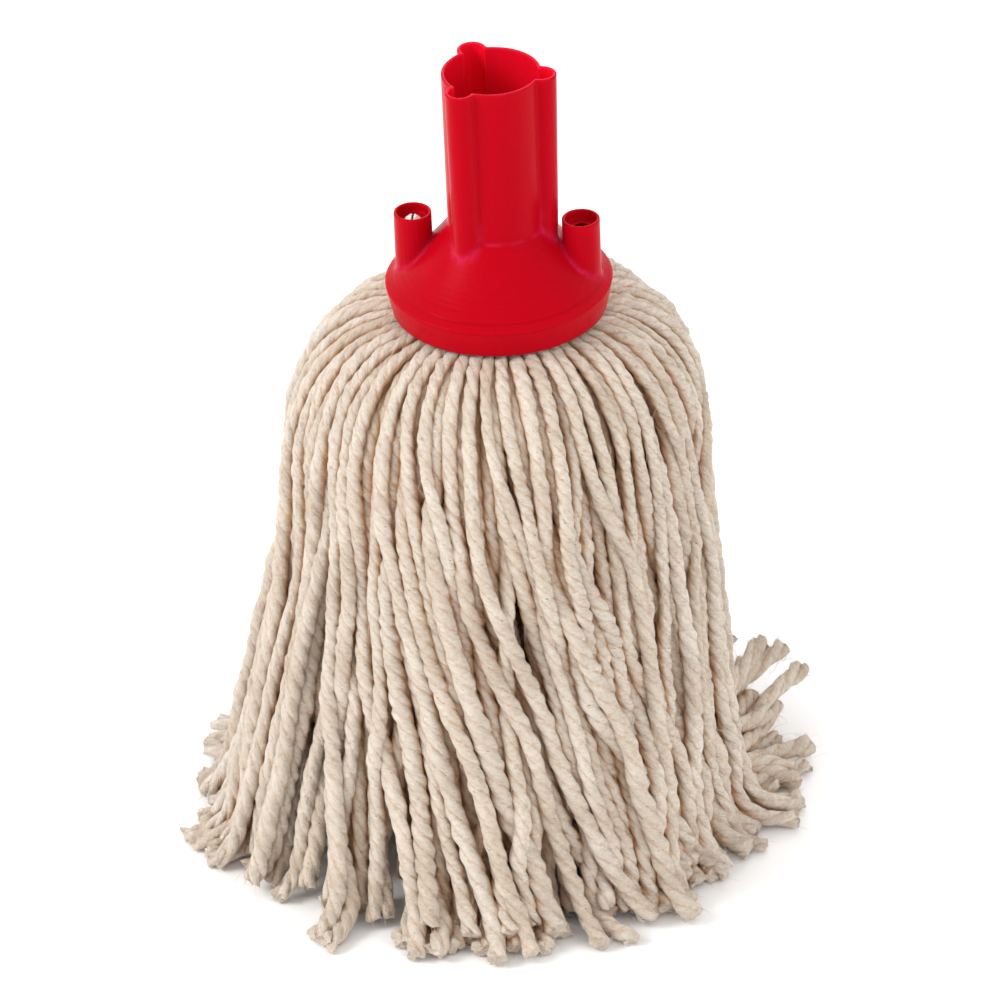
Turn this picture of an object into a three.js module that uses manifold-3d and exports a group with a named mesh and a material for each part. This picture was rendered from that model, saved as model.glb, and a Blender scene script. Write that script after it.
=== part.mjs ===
// A push-fit socket mop head: a moulded polypropylene socket with a clamped bell of cotton yarn.
// Millimetres, +Z up. The origin is the middle of the floor that the yarn ends stand on, under the
// axis of the socket. +X runs through the right-hand snap boss.
import * as THREE from "three";
import { mergeVertices } from "three/addons/utils/BufferGeometryUtils.js";
import Module from "manifold-3d";

const wasm = await Module();
wasm.setup();

// Driving dimensions
const flangeRadius = 35; // outer edge of the cone, where it turns down into the skirt
const flangeHeight = 193; // that edge above the floor
const wall = 1.5; // moulded wall of the skirt and the bosses
const tubeWall = 1.1; // thinner round the tube and its ribs
const floorThickness = 1.8; // moulded floors and the cone's shell
const shellDrop = 2.43; // the shell's thickness measured upright, on a face that slopes by about 42 degrees
const gap = 0.3; // clearance kept between separate pieces
const past = 5; // how far a cutting solid runs past the face it opens

const skirt = { depth: 9, footRadius: 33.1 };
const cone = { height: 19.8, linearShare: 0.6, steps: 8 };
const tube = { topRadius: 15.35, footRadius: 15.05, height: 72.3, floor: 6 };
const rib = { count: 3, radius: 4.6, topOffset: 15.1, footOffset: 14, grooveFloor: 22 };
const boss = { count: 2, offset: 26, radius: 5.85, height: 22, floor: 0.4, hole: 2 };
const recess = { radius: 4.875, depth: 3 }; // open top of each boss, over its floor
const retainer = { radius: 29, thickness: 2.5, drop: 20 };
const pin = { radius: 1.25, headRadius: 4, headThickness: 1.6 };
const barb = { radius: 2.4, tipRadius: 1.2, taper: 1, slot: 0.8 }; // the pin's split end
const pinTips = { right: -2.6, left: 1.4 }; // height of each tip above its boss floor
const mat = { radius: 29.6, crownInset: 1 }; // yarn between the skirt and the retainer, and in the cup
const tufts = { count: 12, top: 0.6, exitRadius: 30 };
const bundles = { count: 6, inner: 2 };
const innerFootRadius = 52; // where the hinged tufts end and the standing bundles begin, at the floor

// The bell's outer outline, as radius against depth below the flange edge
const bell = [
  [34, 9.6], [41, 13], [47, 18], [52.5, 25], [58, 35], [63.5, 50], [67, 70], [68.5, 90],
  [71, 110], [75, 130], [81, 150], [88.5, 170], [96, 188],
];

const roundSegments = 72;
const smallSegments = 28;
const bellSegments = 48;
const weld = 1e-4; // vertices nearer than this are one vertex

const finishes = {
  socket: { color: 0xcc0a1c, roughness: 0.4 },
  nylon: { color: 0xe6e2d8, roughness: 0.5 },
  yarn: { color: 0xd8c6ae, roughness: 0.95 },
};

const below = (depth) => flangeHeight - depth;
const above = (height) => flangeHeight + height;
const turn = (degrees) => THREE.MathUtils.degToRad(degrees);

// A closed three.js geometry as a solid that can be joined and cut
function solid(geometry) {
  const bare = geometry.clone();
  bare.deleteAttribute("normal");
  bare.deleteAttribute("uv");
  const merged = mergeVertices(bare, weld);
  return new wasm.Manifold(
    new wasm.Mesh({
      numProp: 3,
      vertProperties: new Float32Array(merged.attributes.position.array),
      triVerts: new Uint32Array(merged.index.array),
    }),
  );
}

// A solid back as a three.js geometry
function geometryOf(made) {
  const mesh = made.getMesh();
  const geometry = new THREE.BufferGeometry();
  geometry.setAttribute("position", new THREE.BufferAttribute(mesh.vertProperties, 3));
  geometry.setIndex(new THREE.BufferAttribute(mesh.triVerts, 1));
  geometry.computeVertexNormals();
  return geometry;
}

// A solid of revolution about +Z, from [radius, height] points that run upwards on the outside
function revolved(outline, segments) {
  const points = outline.map(([radius, height]) => new THREE.Vector2(radius, height));
  return solid(new THREE.LatheGeometry(points, segments).rotateX(Math.PI / 2));
}

// An upright round bar, or a hole, from one height to another
function bar(radius, low, high, segments, x = 0, y = 0) {
  const geometry = new THREE.CylinderGeometry(radius, radius, high - low, segments);
  geometry.rotateX(Math.PI / 2).translate(x, y, (low + high) / 2);
  return solid(geometry);
}

// Height of the cone's outer face above the flange edge, at a radius
function coneHeightAt(radius) {
  const t = (flangeRadius - radius) / (flangeRadius - tube.footRadius);
  return cone.height * (cone.linearShare * t + (1 - cone.linearShare) * t * t);
}

// Points along the cone's outer face, or along its inner face lowered by the shell's thickness
function coneOutline(fromRadius, toRadius, drop) {
  return Array.from({ length: cone.steps + 1 }, (_, i) => {
    const radius = THREE.MathUtils.lerp(fromRadius, toRadius, i / cone.steps);
    return [radius, above(coneHeightAt(radius) - drop)];
  });
}

// A half-round rib outside the tube leans with the mould's draft
function leaningBar(radius, low, angle) {
  const high = above(tube.height) + past;
  const lean = Math.atan2(rib.topOffset - rib.footOffset, tube.height - cone.height);
  const geometry = new THREE.CylinderGeometry(radius, radius, high - low, smallSegments);
  geometry.rotateX(Math.PI / 2).translate(0, 0, (high - low) / 2);
  geometry.rotateY(lean).translate(rib.footOffset, 0, low).rotateZ(angle);
  return solid(geometry);
}

function socketOutside() {
  let body = revolved(
    [
      [0, below(skirt.depth)],
      [skirt.footRadius, below(skirt.depth)],
      [flangeRadius, below(gap)],
      ...coneOutline(flangeRadius, tube.footRadius, 0),
      [tube.topRadius, above(tube.height)],
      [0, above(tube.height)],
    ],
    roundSegments,
  );
  for (let i = 0; i < rib.count; i++) {
    body = body.add(leaningBar(rib.radius, above(0), turn((360 * i) / rib.count)));
  }
  for (let i = 0; i < boss.count; i++) {
    const side = Math.cos(turn((360 * i) / boss.count));
    body = body.add(bar(boss.radius, above(0), above(boss.height), smallSegments, side * boss.offset));
  }
  return body;
}

// The hollow under the cone, around the blind end of the tube
function cupHollow() {
  const innerEdge = flangeRadius - wall - gap;
  return revolved(
    [
      [0, below(skirt.depth + past)],
      [skirt.footRadius - wall, below(skirt.depth + past)],
      [skirt.footRadius - wall, below(skirt.depth)],
      ...coneOutline(innerEdge, tube.footRadius + floorThickness, shellDrop),
      [tube.footRadius, above(tube.floor - floorThickness)],
      [0, above(tube.floor - floorThickness)],
    ],
    roundSegments,
  );
}

function socketGeometry() {
  const trim = bar(flangeRadius, above(tube.height), above(tube.height) + 3 * past, smallSegments);
  const bore = revolved(
    [
      [0, above(tube.floor)],
      [tube.footRadius - tubeWall, above(tube.floor)],
      [tube.topRadius - tubeWall, above(tube.height) + past],
      [0, above(tube.height) + past],
    ],
    roundSegments,
  );
  let body = socketOutside().subtract(trim).subtract(cupHollow()).subtract(bore);
  for (let i = 0; i < rib.count; i++) {
    const angle = turn((360 * i) / rib.count);
    body = body.subtract(leaningBar(rib.radius - tubeWall, above(rib.grooveFloor), angle));
  }
  for (let i = 0; i < boss.count; i++) {
    const x = boss.offset * Math.cos(turn((360 * i) / boss.count));
    const ledge = above(boss.height - recess.depth);
    body = body.subtract(bar(recess.radius, ledge, above(boss.height) + past, smallSegments, x));
    body = body.subtract(bar(boss.hole, above(0), ledge + past, smallSegments, x));
    body = body.subtract(bar(boss.radius - wall, above(0), ledge - boss.floor, smallSegments, x));
  }
  return geometryOf(body);
}

// The disc that clamps the yarn up against the cup, with a hole for each snap pin
function retainerGeometry() {
  const top = below(retainer.drop);
  let disc = revolved(
    [
      [0, top - retainer.thickness],
      [retainer.radius - retainer.thickness / 2, top - retainer.thickness],
      [retainer.radius, top - retainer.thickness / 2],
      [retainer.radius - retainer.thickness / 2, top],
      [0, top],
    ],
    roundSegments,
  );
  for (const x of [boss.offset, -boss.offset]) {
    disc = disc.subtract(bar(pin.radius + gap, top - past, top + past, smallSegments, x));
  }
  return geometryOf(disc);
}

// A snap pin: a flat head under the retainer, a long shank, and a barbed tip with a slot across it
function pinGeometry(x, tipRise) {
  const headTop = below(retainer.drop + retainer.thickness + gap);
  const tip = above(boss.height - recess.depth + tipRise);
  const barbFoot = tip - barb.taper;
  const outline = [
    [0, headTop - pin.headThickness],
    [pin.headRadius, headTop - pin.headThickness],
    [pin.headRadius, headTop],
    [pin.radius, headTop],
    [pin.radius, barbFoot],
  ];
  if (tipRise > 0) outline.push([barb.radius, barbFoot]); // the barb opens once it is above the boss floor
  outline.push([barb.tipRadius, tip], [0, tip]);
  const slot = new THREE.BoxGeometry(barb.slot, 4 * barb.radius, 2 * past);
  slot.translate(0, 0, tip);
  const made = revolved(outline, smallSegments).subtract(solid(slot));
  return geometryOf(made).translate(x, 0, 0);
}

// The folded middle of the yarn, packed in the cup and pierced by the pins
function matGeometry() {
  const cupRadius = skirt.footRadius - wall - gap;
  const top = above(tube.floor - floorThickness - 2 * gap);
  const underShell = coneOutline(cupRadius, tube.footRadius + floorThickness, shellDrop + 2 * gap);
  const outline = [
    [0, below(retainer.drop - gap)],
    [mat.radius, below(retainer.drop - gap)],
    [mat.radius, below(skirt.depth)],
    [cupRadius, below(skirt.depth - gap)],
  ];
  outline.push(...underShell.filter(([, height]) => height < top));
  outline.push([outline.at(-1)[0] - mat.crownInset, top], [0, top]);
  const holeFoot = below(retainer.drop + past);
  let packed = revolved(outline, bellSegments);
  for (const x of [boss.offset, -boss.offset]) {
    packed = packed.subtract(bar(pin.radius + gap, holeFoot, above(boss.height), smallSegments, x));
  }
  return geometryOf(packed);
}

// An upright prism that holds one sector of the bell, drawn in by half a gap on each side
function sector(count, index, reach) {
  const half = Math.PI / count;
  const apex = gap / 2 / Math.sin(half);
  const shape = new THREE.Shape();
  shape.moveTo(apex, 0);
  shape.lineTo(apex + reach * Math.cos(half), -reach * Math.sin(half));
  shape.lineTo(apex + reach * Math.cos(half), reach * Math.sin(half));
  const prism = new THREE.ExtrudeGeometry(shape, { depth: flangeHeight, bevelEnabled: false });
  prism.translate(0, 0, -past).rotateZ((2 * Math.PI * index) / count);
  return solid(prism);
}

// One tuft of strands, from the gap under the skirt out to the bell's outline and down to the floor
function tuftGeometry(index) {
  const footRadius = bell.at(-1)[0];
  const ring = revolved(
    [
      [tufts.exitRadius, below(retainer.drop + past)],
      [innerFootRadius, 0],
      [footRadius, 0],
      ...bell.map(([radius, depth]) => [radius, below(depth)]).reverse(),
      [tufts.exitRadius, below(skirt.depth + tufts.top)],
      [tufts.exitRadius, below(retainer.drop + past)],
    ],
    bellSegments,
  );
  return geometryOf(ring.intersect(sector(tufts.count, index, 2 * footRadius)));
}

// One bundle of the strands inside the tufts, which the head stands on
function bundleGeometry(index) {
  const top = below(retainer.drop + past);
  const ring = revolved(
    [
      [bundles.inner, top],
      [bundles.inner, 0],
      [innerFootRadius - 2 * gap, 0],
      [tufts.exitRadius - 2 * gap, top],
      [bundles.inner, top],
    ],
    bellSegments,
  );
  return geometryOf(ring.intersect(sector(bundles.count, index, 2 * innerFootRadius)));
}

function mesh(name, geometry, finish) {
  const made = new THREE.Mesh(geometry, new THREE.MeshStandardMaterial(finish));
  made.name = name;
  return made;
}

const numbered = (stem, index) => stem + "_" + String(index + 1).padStart(2, "0");

const mop = new THREE.Group();
mop.add(mesh("socket", socketGeometry(), finishes.socket));
mop.add(mesh("retainer_disc", retainerGeometry(), finishes.nylon));
mop.add(mesh("snap_pin_right", pinGeometry(boss.offset, pinTips.right), finishes.nylon));
mop.add(mesh("snap_pin_left", pinGeometry(-boss.offset, pinTips.left), finishes.nylon));
mop.add(mesh("yarn_mat", matGeometry(), finishes.yarn));
for (let i = 0; i < bundles.count; i++) {
  mop.add(mesh(numbered("inner_bundle", i), bundleGeometry(i), finishes.yarn));
}
for (let i = 0; i < tufts.count; i++) {
  mop.add(mesh(numbered("tuft", i), tuftGeometry(i), finishes.yarn));
}

export default mop;
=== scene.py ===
"""Looks of the string mop head: a bell of plied cotton strands under a red moulded socket."""

import math
from typing import NamedTuple

import bpy
import numpy as np
from mathutils import Matrix, Vector


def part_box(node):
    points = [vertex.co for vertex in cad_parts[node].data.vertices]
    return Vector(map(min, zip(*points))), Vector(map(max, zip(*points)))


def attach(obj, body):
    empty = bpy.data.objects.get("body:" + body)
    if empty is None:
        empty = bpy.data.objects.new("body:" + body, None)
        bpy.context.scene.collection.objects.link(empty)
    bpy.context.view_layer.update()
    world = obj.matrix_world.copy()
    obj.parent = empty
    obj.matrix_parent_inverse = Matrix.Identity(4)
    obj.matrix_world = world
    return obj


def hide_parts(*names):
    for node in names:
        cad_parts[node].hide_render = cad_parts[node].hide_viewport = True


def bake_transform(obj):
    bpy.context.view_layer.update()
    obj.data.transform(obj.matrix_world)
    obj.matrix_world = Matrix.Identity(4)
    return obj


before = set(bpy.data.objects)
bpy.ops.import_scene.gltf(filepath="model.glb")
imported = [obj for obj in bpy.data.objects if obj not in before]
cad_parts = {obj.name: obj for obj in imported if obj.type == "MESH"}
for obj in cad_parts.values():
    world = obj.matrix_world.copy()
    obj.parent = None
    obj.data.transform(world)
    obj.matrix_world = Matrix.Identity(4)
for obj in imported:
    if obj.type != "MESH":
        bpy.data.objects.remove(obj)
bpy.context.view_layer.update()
SEED = 20
draw = np.random.default_rng(SEED)

# -------- places read from the frame, in metres
SOCKET_LOW, SOCKET_HIGH = (np.array(corner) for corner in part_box("socket"))
SKIRT_DEPTH = 0.009
SKIRT_FOOT = SOCKET_LOW[2]
EDGE = SKIRT_FOOT + SKIRT_DEPTH  # height of the flange's outer edge
RETAINER_LOW, RETAINER_HIGH = (np.array(corner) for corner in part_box("retainer_disc"))
TUFTS = sorted(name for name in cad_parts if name.startswith("tuft_"))
BUNDLES = sorted(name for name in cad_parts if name.startswith("inner_bundle_"))

# -------- yarn, in metres
THICKNESS = 0.0049  # of a strand, on average
THICKNESS_SPREAD = 0.09  # share of it that strands differ by
KNOTS = 64  # points along a strand while it settles
ON_FLOOR = 0.0002  # nothing reaches lower


def smooth(low, high, value):
    """0 up to low, 1 from high on, and an S between them. With low above high it falls instead."""
    t = np.clip((np.asarray(value, float) - low) / (high - low), 0, 1)
    return t * t * (3 - 2 * t)


# -------- camera
VIEW_TURN = math.radians(8.9)  # the photographer stands this far round from -Y
VIEW_PITCH = math.radians(31.34)
VIEW_ROLL = math.radians(-2.24)
VIEW_YAW = 0.0007  # radians that the camera is aimed to the left of the axis
VIEW_BACK, VIEW_UP = 3.352, 1.961  # from the middle of the flange's edge
FOCAL_WIDTHS = 12.66  # focal length over the width of the sensor


def make_camera():
    data = bpy.data.cameras.new("camera")
    data.sensor_width = 36.0
    data.lens = FOCAL_WIDTHS * data.sensor_width
    data.clip_start, data.clip_end = 0.1, 30.0
    camera = bpy.data.objects.new("camera", data)
    forward = Vector((0, math.cos(VIEW_PITCH), -math.sin(VIEW_PITCH)))
    level, upright = Vector((1, 0, 0)), Vector((0, math.sin(VIEW_PITCH), math.cos(VIEW_PITCH)))
    right = level * math.cos(VIEW_ROLL) + upright * math.sin(VIEW_ROLL)
    up = upright * math.cos(VIEW_ROLL) - level * math.sin(VIEW_ROLL)
    axes = Matrix((right, up, -forward)).transposed().to_4x4()
    turn, aim = Matrix.Rotation(VIEW_TURN, 4, "Z"), Matrix.Rotation(VIEW_YAW, 4, "Z")
    camera.matrix_world = turn @ Matrix.Translation((0, -VIEW_BACK, VIEW_UP + EDGE)) @ aim @ axes
    bpy.context.scene.collection.objects.link(camera)
    bpy.context.scene.camera = camera


# -------- routes of the strands
# The bell's shoulder, as depth below the flange's edge and radius, in millimetres
SHOULDER = np.array([
    (9.6, 33.5), (12.5, 41), (17, 47), (25, 52.5), (35, 57), (50, 62), (70, 65.5), (90, 67),
])  # fmt: skip
# Round the bell, in degrees: how much its shoulder swells, its radius at the shoulder's foot and its reach
# on the floor, in millimetres, and how late it turns out on the way down
GIRTH = np.array([
    (-150, 7, 70, 92, 0.9), (-117, 4, 68, 84, 1.1), (-96, 0, 66, 82, 1.2), (-49, 0, 64, 73, 1.4),
    (-22, 1, 62, 70, 2.0), (-5, 2, 62, 70, 2.4), (12, 4, 62, 69, 2.4), (28, 4, 61, 67, 2.4),
    (50, 4, 62, 66, 2.4), (75, 4, 64, 73, 1.8), (100, 4, 66, 86, 1.4), (145, 4, 69, 93, 1.1),
    (177, 7, 71, 96, 0.9),
])  # fmt: skip
GIRTH_DEPTHS = 0.025, 0.075  # the shoulder takes on the girth of its side between these depths
SWELLING_DEPTHS = 0.009, 0.018, 0.035, 0.075  # the swelling begins, is full, starts to fall and is over
CLAMP_RADIUS = 0.020  # where the strands come out of the folded middle
# How far round the outer strands have gone by the end, for where they leave the rim, in degrees
SWIRL = np.array([(-148, 0), (-124, 40), (-101, 42), (-81, 35), (-51, 18), (-30, 5), (-10, 0)])
SWIRL_SHARE = 0.92  # share of the strand over which the swirl builds up
SWIRL_SIDE = 0.7  # a strand takes its outline from the side that it has swirled this far towards
WANDER = 0.0034  # how far strands drift from side to side, in metres
STRAY = 0.0035  # how far their ends have gone to one side, in metres

# On one side the strands are longer, and their ends lie along the floor or in a pile on each other
FOOT_SIDE = math.radians(35)
FOOT_SPREAD = 0.57, 0.91  # cosines of the angles from there at which this begins and is complete
FOOT_REACH = 0.07  # as far as a route goes on along the floor
LYING = 0.004, 0.025  # shortest and longest stretch of strand that lies there
LYING_IN_PILE = 0.009  # more of it in the pile
CURL = 0.40  # radians that the ends turn by, at most
PILE_SIDE = math.radians(65)
PILE_SPREAD = 0.6, 0.98
PILE = 0.023  # how high above the floor the top ones come to lie
LIFT = 0.046  # how far their tips stand off the floor


class Row(NamedTuple):
    """A layer of the bell's outer strands."""

    strands: int  # for each tuft
    depths: tuple  # how deep they lie under the bell's outline by the rim, half way and at the floor
    swirl: float  # share of the swirl that they follow
    stacked: float  # share of the pile's height that they come to lie at
    parting: int  # more strands at the front, where the rows over them part


ROWS = {
    "a": Row(4, (0.0000, 0.0000, 0.0000), 1.00, 1.00, 0),
    "b": Row(3, (0.0028, 0.0010, 0.0006), 0.92, 0.75, 0),
    "c": Row(5, (0.0052, 0.0044, 0.0020), 0.30, 0.50, 1),
    "d": Row(4, (0.0068, 0.0074, 0.0050), 0.10, 0.25, 1),
}
ROW_DEPTHS = 0.012, 0.08, 0.19  # where a row's three depths hold, below the flange's edge
INNERMOST_ROW = "d"
STAGGER = 0.25  # of a gap, by which rows are shifted to one side and the other
FRONT = math.radians(-120)
FRONT_SPREAD = 0.6, 0.8
INNER_PER_BUNDLE = 8
INNER_REACH = 0.015, 0.070  # where the inner strands stand
FULLNESS = 0.97, 1.17  # the strands' thickness by the rim, where they are squeezed, and at the floor
DRIFT_POINTS = 160
CLAMP_POINTS, FALL_POINTS, FOOT_POINTS, OUTLINE_POINTS, INNER_POINTS = 12, 120, 24, 160, 100


def facing(azimuth, side, low, high):
    """1 on the named side of the bell, falling to 0 away from it."""
    return smooth(low, high, np.cos(azimuth - side))


def bell_radius(depth, azimuth):
    """The bell's radius on one side, at a depth below the flange's edge, in metres."""
    swelling, girth, reach, splay = (
        np.interp(math.degrees(azimuth), GIRTH[:, 0], column, period=360) for column in GIRTH[:, 1:].T
    )
    radius = np.interp(depth * 1000, SHOULDER[:, 0], SHOULDER[:, 1])
    foot = SHOULDER[-1]
    radius = radius + (girth - foot[1]) * smooth(*GIRTH_DEPTHS, depth)
    begins, full, falls, over = SWELLING_DEPTHS
    radius = radius + swelling * smooth(begins, full, depth) * smooth(over, falls, depth)
    below = np.clip((depth * 1000 - foot[0]) / (EDGE * 1000 - foot[0]), 0, 1)
    return (radius + (reach - girth) * below**splay) / 1000


def swirl(azimuth, row):
    """How far round a strand has gone by its end, for where it leaves the rim."""
    turned = np.interp(math.degrees(azimuth), SWIRL[:, 0], SWIRL[:, 1], period=360)
    return row.swirl * math.radians(turned)


def fullness(share):
    """A strand's thickness against the average, at a share of its length."""
    return FULLNESS[0] + (FULLNESS[1] - FULLNESS[0]) * smooth(0.1, 0.8, share)


def wander(amplitude):
    """A slow random sideways drift along a strand, in metres."""
    s = np.linspace(0, 1, DRIFT_POINTS)
    drift = np.zeros_like(s)
    for waves in (0.7, 1.7, 3.3):
        drift += draw.normal(0, amplitude / waves) * np.sin(2 * math.pi * (waves * s + draw.random()))
    return (drift - drift[0]) * smooth(0.05, 0.35, s)


def length_of(points):
    return np.linalg.norm(np.diff(points, axis=0), axis=1).sum()


def resampled(points, count, length):
    """Evenly spaced points along the first stretch of a line."""
    steps = np.linalg.norm(np.diff(points, axis=0), axis=1)
    along = np.concatenate([[0], np.cumsum(steps)])
    wanted = np.linspace(0, min(length, along[-1]), count)
    return np.stack([np.interp(wanted, along, points[:, i]) for i in range(points.shape[1])], 1)


def relaxed(line, rounds):
    """The line with its kinks smoothed out."""
    for _ in range(rounds):
        line[1:-1] = 0.5 * line[1:-1] + 0.25 * (line[:-2] + line[2:])
    return line


def in_space(outline, azimuth, turning, amplitude):
    """Turns (radius, depth) points into the frame's points, going round and wandering on the way."""
    share = np.linspace(0, 1, len(outline))
    even = np.linspace(0, 1, DRIFT_POINTS)
    sideways, outward = (np.interp(share, even, wander(a)) for a in (amplitude, 0.4 * amplitude))
    sideways = sideways + draw.normal(0, STRAY) * smooth(0.45, 0.85, share)
    radius, depth = outline[:, 0] + outward, outline[:, 1]
    angle = azimuth + turning + sideways / np.maximum(radius, 0.03)
    return np.stack([radius * np.cos(angle), radius * np.sin(angle), EDGE - depth], 1)


def footing_of(side):
    """1 where the strands are longer and lie along the floor, 0 elsewhere."""
    return float(facing(side, FOOT_SIDE, *FOOT_SPREAD))


def outer_route(azimuth, row, thickness):
    """(radius, depth) of a strand from the clamp to the floor and out along it, and its cut length."""
    side = azimuth + SWIRL_SIDE * swirl(azimuth, row)
    footing = footing_of(side)
    in_pile = float(facing(side, PILE_SIDE, *PILE_SPREAD))
    stacked = row.stacked * (in_pile * draw.uniform(0.6, 1.0))
    rest = EDGE - thickness / 2 - footing * stacked * PILE
    depth = np.linspace(SHOULDER[0, 0] / 1000, EDGE, FALL_POINTS)
    radius = bell_radius(depth, side)
    slope = np.stack([np.gradient(radius), np.gradient(depth)], 1)
    slope /= np.linalg.norm(slope, axis=1)[:, None]
    deep = np.interp(depth, ROW_DEPTHS, row.depths) + thickness / 2
    fall = np.stack([radius - deep * slope[:, 1], depth + deep * slope[:, 0]], 1)
    fall = fall[fall[:, 1] <= rest]
    held = min(fall[0, 1], EDGE - RETAINER_HIGH[2] - thickness / 2)
    out = np.linspace(CLAMP_RADIUS, fall[0, 0] - 0.002, CLAMP_POINTS)
    clamp = np.stack([out, np.full_like(out, held)], 1)
    lift = footing * stacked * (LIFT - PILE) * smooth(0.0, 0.5, np.linspace(0, 1, FOOT_POINTS))
    foot = np.stack([fall[-1, 0] + np.linspace(0.001, FOOT_REACH, FOOT_POINTS), rest - lift], 1)
    outline = relaxed(resampled(np.concatenate([clamp, fall, foot]), OUTLINE_POINTS, 1.0), 14)
    standing = length_of(np.concatenate([clamp, fall]))
    lying = draw.uniform(*LYING) + LYING_IN_PILE * in_pile
    length = standing + draw.normal(0.003, 0.0055) + footing * lying
    return outline, length


def outer_turning(azimuth, row, outline):
    """How far round a strand has gone at each point: the swirl, and the curl of the ends on the floor."""
    share = np.linspace(0, 1, len(outline))
    curl = CURL * draw.uniform(0.1, 1.0) * footing_of(azimuth)
    return swirl(azimuth, row) * smooth(0.02, SWIRL_SHARE, share) + curl * smooth(0.68, 0.92, share)


def inner_route(thickness):
    """A strand that comes out from under the retainer's edge and stands inside the bell."""
    edge = RETAINER_HIGH[0]
    foot = draw.uniform(*INNER_REACH)
    rest = EDGE - thickness / 2
    under = EDGE - RETAINER_LOW[2] + 0.001
    waist = 0.5 * (edge + foot) + 0.006
    points = [(edge - 0.004, under), (edge + 0.003, under + 0.004), (waist, under + 0.06), (foot, rest)]
    outline = relaxed(resampled(np.array(points), INNER_POINTS, 1.0), 60)
    return outline, length_of(outline) * draw.uniform(0.96, 1.0)


def plan_tuft(index, tuft):
    """The outer strands of one tuft before they settle."""
    sector = 2 * math.pi / len(TUFTS)
    extra = round(footing_of(sector * index))
    parting = round(float(facing(sector * index, FRONT, *FRONT_SPREAD)))
    plans = []
    for row_index, (name, row) in enumerate(ROWS.items()):
        count = row.strands + extra + parting * row.parting
        shift = STAGGER if row_index % 2 else -STAGGER
        for k in range(count):
            place = (k + 0.5 + shift) / count - 0.5
            azimuth = sector * (index + place + draw.uniform(-0.05, 0.05))
            thickness = THICKNESS * (1 + draw.normal(0, THICKNESS_SPREAD))
            outline, length = outer_route(azimuth, row, thickness)
            turning = outer_turning(azimuth, row, outline)
            route = in_space(outline, azimuth, turning, WANDER)
            knots = resampled(route, KNOTS, length * length_of(route) / length_of(outline))
            plans.append({"group": tuft, "row": name, "thickness": thickness, "knots": knots})
    return plans


def plan_bundle(index, bundle):
    """The inner strands of one bundle before they settle."""
    plans = []
    for k in range(INNER_PER_BUNDLE):
        azimuth = 2 * math.pi / len(BUNDLES) * (index + (k + 0.5) / INNER_PER_BUNDLE - 0.5)
        thickness = THICKNESS * (1 + draw.normal(0, THICKNESS_SPREAD))
        outline, length = inner_route(thickness)
        knots = resampled(in_space(outline, azimuth, 0.0, WANDER), KNOTS, length)
        plans.append({"group": bundle, "row": "inner", "thickness": thickness, "knots": knots})
    return plans


def plan_strands():
    """Every strand before it settles: its group, row, thickness and points."""
    plans = []
    for plan_group, groups in ((plan_tuft, TUFTS), (plan_bundle, BUNDLES)):
        for index, group in enumerate(groups):
            plans += plan_group(index, group)
    return plans


# -------- settling: strands push each other aside
SETTLE_STEPS = 140
PAIRING_STEPS = 14  # steps between two searches for pairs that touch
TOUCHING = 0.92  # strands press into each other a little
PUSH = 0.45  # share of an overlap that each of the two gives way by in one step
UNBEND = 0.25  # share of a false bend that one step takes out
HOMING = 0.015  # share of the way back to its route that a strand goes in one step
SMOOTHING = 4  # rounds that take the kinks out at the end
PINNED = 4  # knots of each strand held by the clamp
THICKEST = 1.35  # of the strands, over the average
CLOSE = 0.0022  # how much further than touching a pair of knots is watched
BLOCK = 1024  # knots compared with all the others at a time
WIDEST = 0.104  # half the width of the space that the strands may take up
TINY = 1e-6  # keeps a division by a distance safe


def close_pairs(points, strand, reach):
    """Pairs of knots on different strands that are nearer than reach."""
    found = []
    square = (points**2).sum(1)
    for start in range(0, len(points), BLOCK):
        part = slice(start, start + BLOCK)
        gap = square[part, None] + square[None, :] - 2 * points[part] @ points.T
        first, second = np.nonzero(gap < reach * reach)
        first += start
        keep = (first < second) & (strand[first] != strand[second])
        found.append(np.stack([first[keep], second[keep]]))
    return np.concatenate(found, 1)


def pushed_apart(flat, first, second, want):
    """How far the knots move when each pair nearer than it wants to be is pushed apart."""
    apart = flat[first] - flat[second]
    distance = np.maximum(np.linalg.norm(apart, axis=1), TINY)
    push = apart * (0.5 * np.clip(want - distance, 0, None) / distance)[:, None]
    move = np.empty_like(flat)
    for axis in range(3):
        move[:, axis] = np.bincount(first, push[:, axis], len(flat))
        move[:, axis] -= np.bincount(second, push[:, axis], len(flat))
    return move


def keep_lengths(knots, step):
    """Moves the knots of each strand so that they are as far apart as they were cut to be."""
    for parity in (0, 1):
        a, b = knots[:, parity:-1:2], knots[:, parity + 1 :: 2]
        span = b - a
        long = np.maximum(np.linalg.norm(span, axis=2, keepdims=True), TINY)
        fix = span * (0.5 * (1 - step[:, parity::2] / long))
        knots[:, parity:-1:2] = a + fix
        knots[:, parity + 1 :: 2] = b - fix


def keep_in_room(knots, radius):
    """Moves the knots on to the floor, into the widest box, and out from inside the socket."""
    knots[:, :, 2] = np.maximum(knots[:, :, 2], radius)
    knots[:, :, :2] = np.clip(knots[:, :, :2], radius[:, :, None] - WIDEST, WIDEST - radius[:, :, None])
    under = np.hypot(knots[:, :, 0], knots[:, :, 1]) < SOCKET_HIGH[0] + 0.5 * THICKNESS
    roof = SKIRT_FOOT - radius * np.ones((1, knots.shape[1]))
    knots[:, :, 2] = np.where(under, np.minimum(knots[:, :, 2], roof), knots[:, :, 2])


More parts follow.
